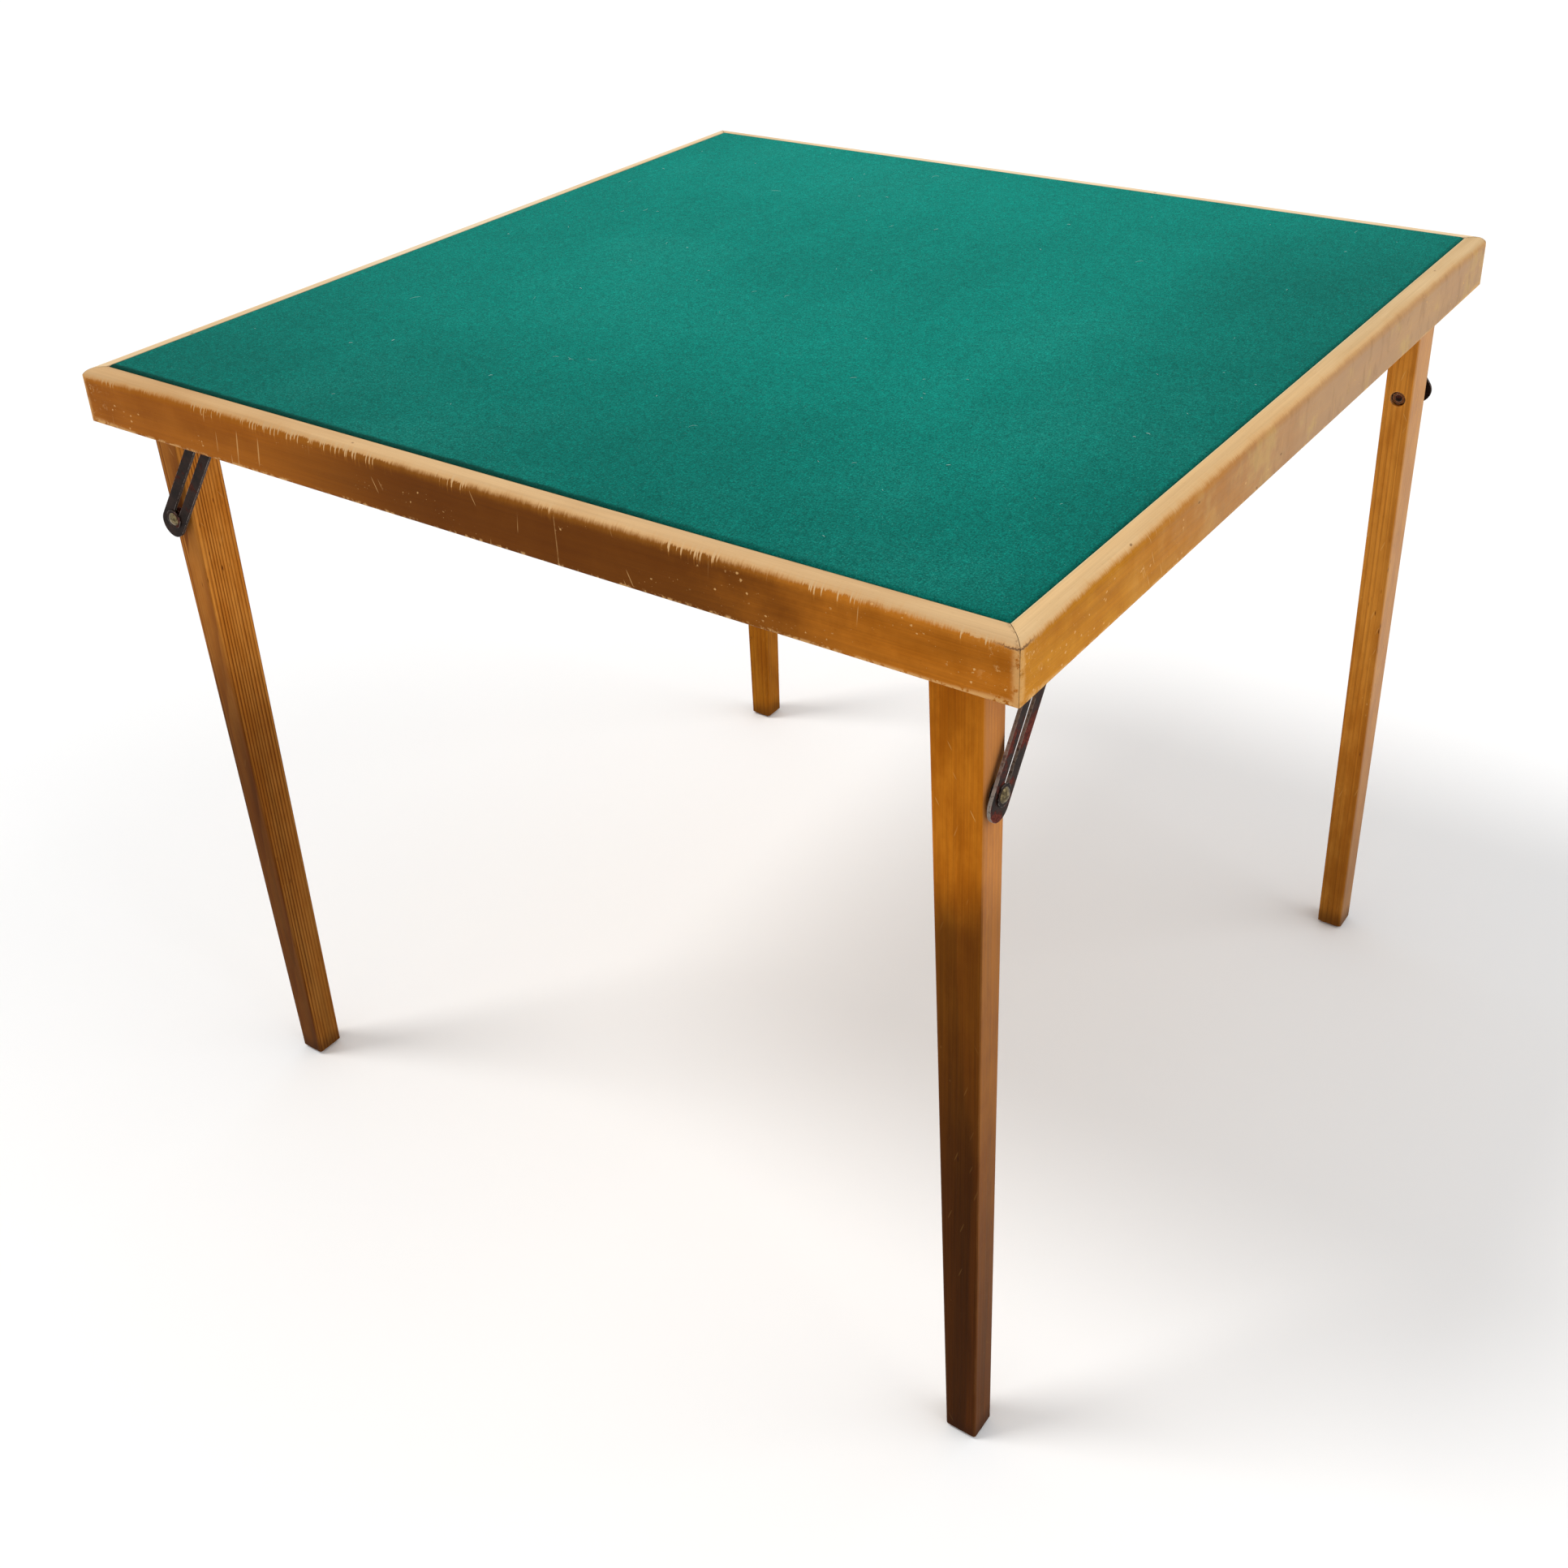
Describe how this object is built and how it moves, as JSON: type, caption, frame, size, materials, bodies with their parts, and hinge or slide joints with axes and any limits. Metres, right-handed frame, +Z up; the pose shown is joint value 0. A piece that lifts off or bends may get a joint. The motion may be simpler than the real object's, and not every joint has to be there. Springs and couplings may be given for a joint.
{
  "type": "folding card table",
  "caption": "Square folding card table: green baize top in a mitred wooden rim on tapered legs that fold flat under it, each held by a slotted steel stay.",
  "frame": {"origin": "on the floor under the middle of the square top", "axes": "+Z up, +X towards the right-hand rail and -Y towards the front rail, the two rails nearest the camera"},
  "size_m": [0.8, 0.8, 0.691],
  "materials": {
    "rail_wood": "honey varnish on hardwood, worn through to pale wood along the top outer edge",
    "leg_wood": "orange-brown varnish on straight-grained softwood, scratched",
    "plywood": "bare plywood",
    "inner_wood": "bare planed softwood",
    "baize": "teal green felted wool, matt, with lint",
    "dark_steel": "blackened steel with brown rust, satin",
    "bright_steel": "dull zinc-plated steel",
    "rivet_metal": "worn, dull"
  },
  "bodies": {
    "top": {"rail_right": "rail_wood", "rail_back": "rail_wood", "rail_left": "rail_wood", "rail_front": "rail_wood", "mitre_splines": "plywood", "top_panel": "plywood", "baize": "baize", "batten_front": "inner_wood", "batten_back": "inner_wood", "batten_screws": "bright_steel", "hinge_block_front_right": "inner_wood", "hinge_block_back_right": "inner_wood", "hinge_block_back_left": "inner_wood", "hinge_block_front_left": "inner_wood", "block_screws": "bright_steel", "pivot_bolts": "bright_steel", "pivot_washers": "bright_steel", "pivot_spacers": "dark_steel", "stay_screws": "dark_steel", "stay_spacers": "dark_steel"},
    "leg_front_right": {"leg_front_right": "leg_wood", "leg_bolt_front_right": "dark_steel", "leg_nut_front_right": "dark_steel"},
    "stay_front_right": {"stay_front_right": "dark_steel"},
    "rivet_front_right": {"rivet_front_right": "rivet_metal", "rivet_washer_front_right": "dark_steel"},
    "leg_back_right": {"leg_back_right": "leg_wood", "leg_bolt_back_right": "dark_steel", "leg_nut_back_right": "dark_steel"},
    "stay_back_right": {"stay_back_right": "dark_steel"},
    "rivet_back_right": {"rivet_back_right": "rivet_metal", "rivet_washer_back_right": "dark_steel"},
    "leg_back_left": {"leg_back_left": "leg_wood", "leg_bolt_back_left": "dark_steel", "leg_nut_back_left": "dark_steel"},
    "stay_back_left": {"stay_back_left": "dark_steel"},
    "rivet_back_left": {"rivet_back_left": "rivet_metal", "rivet_washer_back_left": "dark_steel"},
    "leg_front_left": {"leg_front_left": "leg_wood", "leg_bolt_front_left": "dark_steel", "leg_nut_front_left": "dark_steel"},
    "stay_front_left": {"stay_front_left": "dark_steel"},
    "rivet_front_left": {"rivet_front_left": "rivet_metal", "rivet_washer_front_left": "dark_steel"}
  },
  "joints": [
    {"name": "leg_front_right_fold", "type": "hinge", "parent": "top", "child": "leg_front_right", "pos_m": [0.366, -0.36445, 0.67], "axis": [1, 0, 0], "range_deg": [0, 90]},
    {"name": "stay_front_right_turn", "type": "hinge", "parent": "top", "child": "stay_front_right", "pos_m": [0.378, -0.28795, 0.67], "axis": [1, 0, 0], "range_deg": [0, 125.45]},
    {"name": "rivet_front_right_slide", "type": "slide", "parent": "stay_front_right", "child": "rivet_front_right", "axis": [0, -0.5798, -0.8148], "range_m": [-0.10095, 0]},
    {"name": "leg_back_right_fold", "type": "hinge", "parent": "top", "child": "leg_back_right", "pos_m": [0.36445, 0.366, 0.67], "axis": [0, 1, 0], "range_deg": [0, 90]},
    {"name": "stay_back_right_turn", "type": "hinge", "parent": "top", "child": "stay_back_right", "pos_m": [0.28795, 0.378, 0.67], "axis": [0, 1, 0], "range_deg": [0, 125.45]},
    {"name": "rivet_back_right_slide", "type": "slide", "parent": "stay_back_right", "child": "rivet_back_right", "axis": [0.5798, 0, -0.8148], "range_m": [-0.10095, 0]},
    {"name": "leg_back_left_fold", "type": "hinge", "parent": "top", "child": "leg_back_left", "pos_m": [-0.366, 0.36445, 0.67], "axis": [-1, 0, 0], "range_deg": [0, 90]},
    {"name": "stay_back_left_turn", "type": "hinge", "parent": "top", "child": "stay_back_left", "pos_m": [-0.378, 0.28795, 0.67], "axis": [-1, 0, 0], "range_deg": [0, 125.45]},
    {"name": "rivet_back_left_slide", "type": "slide", "parent": "stay_back_left", "child": "rivet_back_left", "axis": [0, 0.5798, -0.8148], "range_m": [-0.10095, 0]},
    {"name": "leg_front_left_fold", "type": "hinge", "parent": "top", "child": "leg_front_left", "pos_m": [-0.36445, -0.366, 0.67], "axis": [0, -1, 0], "range_deg": [0, 90]},
    {"name": "stay_front_left_turn", "type": "hinge", "parent": "top", "child": "stay_front_left", "pos_m": [-0.28795, -0.378, 0.67], "axis": [0, -1, 0], "range_deg": [0, 125.45]},
    {"name": "rivet_front_left_slide", "type": "slide", "parent": "stay_front_left", "child": "rivet_front_left", "axis": [-0.5798, 0, -0.8148], "range_m": [-0.10095, 0]}
  ],
  "couplings": [
    {"joint": "stay_front_right_turn", "follows": "leg_front_right_fold", "ratio": 1.3937},
    {"joint": "rivet_front_right_slide", "follows": "leg_front_right_fold", "m_per_rad": -0.064261},
    {"joint": "stay_back_right_turn", "follows": "leg_back_right_fold", "ratio": 1.3937},
    {"joint": "rivet_back_right_slide", "follows": "leg_back_right_fold", "m_per_rad": -0.064261},
    {"joint": "stay_back_left_turn", "follows": "leg_back_left_fold", "ratio": 1.3937},
    {"joint": "rivet_back_left_slide", "follows": "leg_back_left_fold", "m_per_rad": -0.064261},
    {"joint": "stay_front_left_turn", "follows": "leg_front_left_fold", "ratio": 1.3937},
    {"joint": "rivet_front_left_slide", "follows": "leg_front_left_fold", "m_per_rad": -0.064261}
  ]
}
